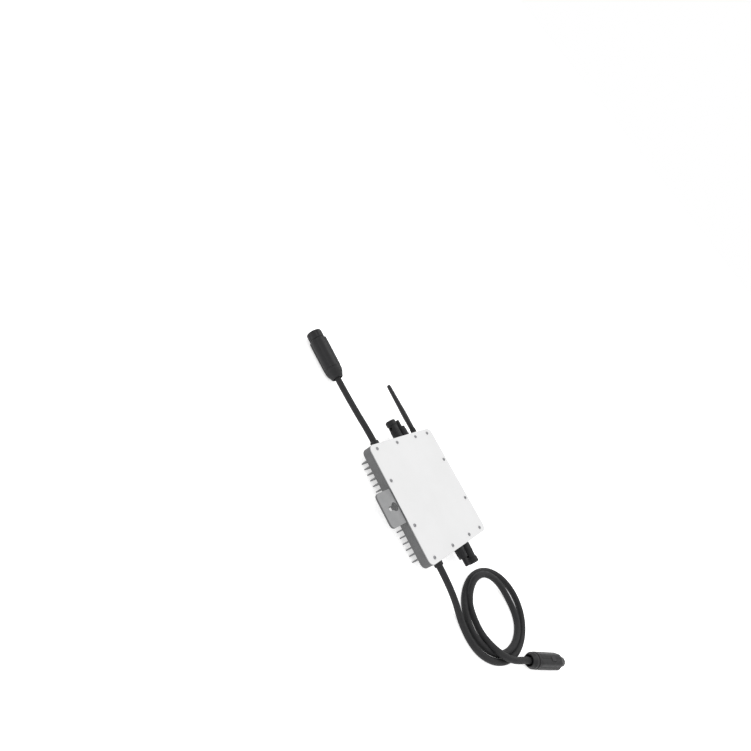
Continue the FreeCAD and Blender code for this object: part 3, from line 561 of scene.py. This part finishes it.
def rear_nut(plug, place, mouth, rear, grip):
    """Clamping nut with a mouth for the cable and fine grip ribs between two heights."""
    outline = [(8.6, NUT_LONG), (8.6, mouth), (9.4, 0.4), (9.8, 0)] + rear + [(8.6, NUT_LONG)]
    low, high = grip

    def section(angle, radius, height):
        if radius < 10.5 or not low < height < high:
            return radius
        wave = 0.5 + 0.5 * math.cos(GRIP_WAVES * angle)
        fade = min(1.0, (height - low) / GRIP_FADE, (high - height) / GRIP_FADE)
        return radius - GRIP_DEPTH * wave * fade

    nut = turn_piece(f"plug_{plug}_rear_nut", outline, place, ON_INVERTER, "plug_plastic", section,
                     steps=216)
    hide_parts(f"plug_{plug}_nut")
    return nut


def make_plug_a():
    """First connector: a six-sided barrel and the slotted collar that turns on it."""
    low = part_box("plug_a_nut")[0]
    centre = middle("plug_a_nut")
    place = axis_place((centre.x, low.y, centre.z), (0, 1, 0))
    rear = [(11.2, 0), (12.8, 4), (16, 11), (17.2, 16.5), (17.2, NUT_LONG - 0.4), (16.8, NUT_LONG)]
    nut = rear_nut("a", place, 13, rear, (16, 21.6))
    outline = [(10, 100), (10, 30), (8.6, 30), (8.6, NUT_LONG), (15.6, NUT_LONG), (16.4, NUT_LONG + 0.8)]
    outline += [(16.6, 60), (16.6, 86.4), (15.4, 88), (11.4, 88), (11.4, 100), (10, 100)]
    barrel = turn_piece("plug_a_barrel", outline, place, ON_INVERTER, "plug_plastic", barrel_section(88.1))
    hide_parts("plug_a_shell")
    outline = [(11.47, 88.4), (14.6, 88.4), (15.5, 89.4), (15.5, 104.6), (14.3, 106), (10.6, 106)]
    outline += [(10.6, 100.6), (11.47, 100.6), (11.47, 88.4)]
    grips = ribs(6, -0.8, 91, 112, duty=0.30)

    def collar_section(angle, radius, height):
        return grips(angle, radius, height) if radius > 14 else radius

    collar = turn_piece("plug_a_ring", outline, place, "coupling_collar", "collar_plastic", collar_section,
                        steps=144, ease=0.4)
    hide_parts("plug_a_collar")
    inside = [frame["nodes"][f"plug_a_{part}"] for part in ("seal", "insert", "contacts")]
    return [nut, barrel, collar, *inside]


def cut_box(piece, place, low, high):
    """Cut a box, given by its corners in millimetres in the piece's own frame, from a mesh."""
    size = (Vector(high) - Vector(low)) * MM
    centre = (Vector(high) + Vector(low)) / 2 * MM
    mesh = bpy.data.meshes.new("cutter")
    work = bmesh.new()
    bmesh.ops.create_cube(work, size=1)
    work.to_mesh(mesh)
    work.free()
    mesh.transform(place @ Matrix.Translation(centre) @ Matrix.Diagonal((*size, 1)))
    cutter = bpy.data.objects.new("cutter", mesh)
    collection.objects.link(cutter)
    modifier = piece.modifiers.new("pocket", "BOOLEAN")
    modifier.operation = "DIFFERENCE"
    modifier.solver = "EXACT"
    modifier.object = cutter
    bpy.context.view_layer.update()
    whole = piece.evaluated_get(bpy.context.evaluated_depsgraph_get())
    cut = bpy.data.meshes.new_from_object(whole)
    piece.modifiers.clear()
    piece.data = cut
    cut.set_sharp_from_angle(angle=SHARP_ANGLE)
    bpy.data.objects.remove(cutter)


def make_plug_b():
    """Second connector: two rear rings, a fuller barrel, a narrow nose and a button on top."""
    along = Vector((math.cos(PLUG_B_HEADING), math.sin(PLUG_B_HEADING), 0))
    centre = middle("plug_b_seal")
    place = axis_place(centre - along * PLUG_B_SEAL_MIDDLE * MM, along)
    rear = [(11, 0), (14.4, 8), (14.6, 8.6), (14.6, 13.4), (13.4, 13.8), (13.4, 15.4), (15, 16)]
    rear += [(15, NUT_LONG - 0.4), (14.6, NUT_LONG)]
    nut = rear_nut("b", place, 14, rear, (8.6, 13.4))
    outline = [(7, 110), (7, 30), (8.6, 30), (8.6, NUT_LONG), (13.6, NUT_LONG), (14.2, NUT_LONG + 0.8)]
    outline += [(14.4, 60), (14.5, 89), (14.2, 91), (9.6, 103), (8.9, 103.5), (8.9, 108.5)]
    outline += [(8, 110), (7, 110)]
    barrel = turn_piece("plug_b_barrel", outline, place, ON_INVERTER, "plug_plastic", barrel_section(89.5))
    cut_box(barrel, place, *BUTTON_POCKET)
    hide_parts("plug_b_shell")
    button = frame["nodes"]["plug_b_button"]
    inside = [frame["nodes"][f"plug_b_{part}"] for part in ("seal", "insert", "contacts")]
    return [nut, barrel, button, *inside]


# ---------------------------------------------------------------- glands and antenna

GLAND_NOSE = 8
WHIP_START = 12
SEAM_WIDE = 0.35
SEAM_PROUD = 0.12


def make_glands():
    """Cable glands with a grooved grip, one at each end of the case."""
    outline = [(6.1, -12), (7.1, -12), (7.1, 0), (8.4, 0), (8.4, 2.8), (8, 3.4), (7.8, 7)]
    outline += [(7.2, GLAND_NOSE), (6.1, GLAND_NOSE), (6.1, -12)]
    grips = ribs(16, 0.4, 3.0, 7.2, duty=0.5, soft=0.6)

    def section(angle, radius, height):
        return grips(angle, radius, height) if radius > 7.6 and height > 3 else radius

    for end, side in (("front", 1), ("rear", -1)):
        low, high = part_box(f"ac_gland_{end}")
        centre = (low + high) / 2
        nose = high.y if side > 0 else low.y
        place = axis_place((centre.x, nose - side * GLAND_NOSE * MM, centre.z), (0, side, 0))
        gland = turn_piece(f"gland_{end}", outline, place, ON_INVERTER, "gland_plastic", section,
                           steps=192, ease=0.3, gap=0.8)
        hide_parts(f"ac_gland_{end}")


def make_antenna():
    """Rubber rod, fullest at a third of its length, with a moulding line and a domed tip."""
    low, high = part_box("antenna_whip")
    centre = (low + high) / 2
    place = axis_place((centre.x, low.y - WHIP_START * MM, centre.z), (0, 1, 0))
    tip = (high.y - low.y) / MM + WHIP_START
    outline = [(0, WHIP_START), (5.2, WHIP_START), (5.3, 22), (5.6, 36), (5.6, 50), (5.1, 66)]
    outline += [(4.3, tip - 5), (3.6, tip - 1.2), (2.2, tip), (0, tip)]

    def section(angle, radius, height):
        seam = max(0.0, 1 - abs(math.sin(angle)) * radius / SEAM_WIDE) if radius > 2.5 else 0.0
        return radius + SEAM_PROUD * seam

    rod = turn_piece("antenna_rod", outline, place, "antenna", "antenna_rubber", section,
                     ease=1.2, closed=False)
    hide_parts("antenna_whip")


# ---------------------------------------------------------------- floor and light


def make_stage():
    """A pale floor under the object, a soft sun from above and an even white sky."""
    floor_mesh = bpy.data.meshes.new("floor")
    reach = 40
    ground = CAD_BOX[0].z
    corners = [(i * reach, j * reach, ground) for i, j in ((-1, -1), (1, -1), (1, 1), (-1, 1))]
    floor_mesh.from_pydata(corners, [], [(0, 1, 2, 3)])
    floor = bpy.data.objects.new("floor", floor_mesh)
    collection.objects.link(floor)
    recipe = Recipe("floor_paper")
    soft = recipe.noise(0.4)
    tone = recipe.blend(recipe.spread(soft, 0, 1), (0.885, 0.885, 0.885), (0.90, 0.90, 0.90))
    recipe.join(tone, "Base Color")
    recipe.set(Roughness=0.9, Specular_IOR_Level=0.1, Emission_Color=(1, 1, 1, 1), Emission_Strength=0.60)
    floor_mesh.materials.append(recipe.material)

    sun = bpy.data.objects.new("sun", bpy.data.lights.new("sun", "SUN"))
    sun.data.energy = 0.85
    sun.data.angle = math.radians(38)
    sun.rotation_euler = (math.radians(-12), math.radians(26), 0)
    collection.objects.link(sun)

    world = bpy.data.worlds.new("world")
    world.use_nodes = True
    world.node_tree.nodes["Background"].inputs["Color"].default_value = (1, 1, 1, 1)
    world.node_tree.nodes["Background"].inputs["Strength"].default_value = 1.0
    scene.world = world
    scene.view_settings.view_transform = "Standard"


# ---------------------------------------------------------------- the whole object

make_camera()
surfaces = make_surfaces()
short_cable = make_cable("trunk_cable_short", SHORT_CABLE, ["ac_short_cable"])
long_route = LEAD_CABLE + coil_points() + TAIL_CABLE
long_cable = make_cable("trunk_cable_long", long_route, ["ac_lead_cable", "ac_cable_coil", "ac_tail_cable"])
dress_frame()
plug_a = make_plug_a()
plug_b = make_plug_b()
make_glands()
make_antenna()
make_stage()
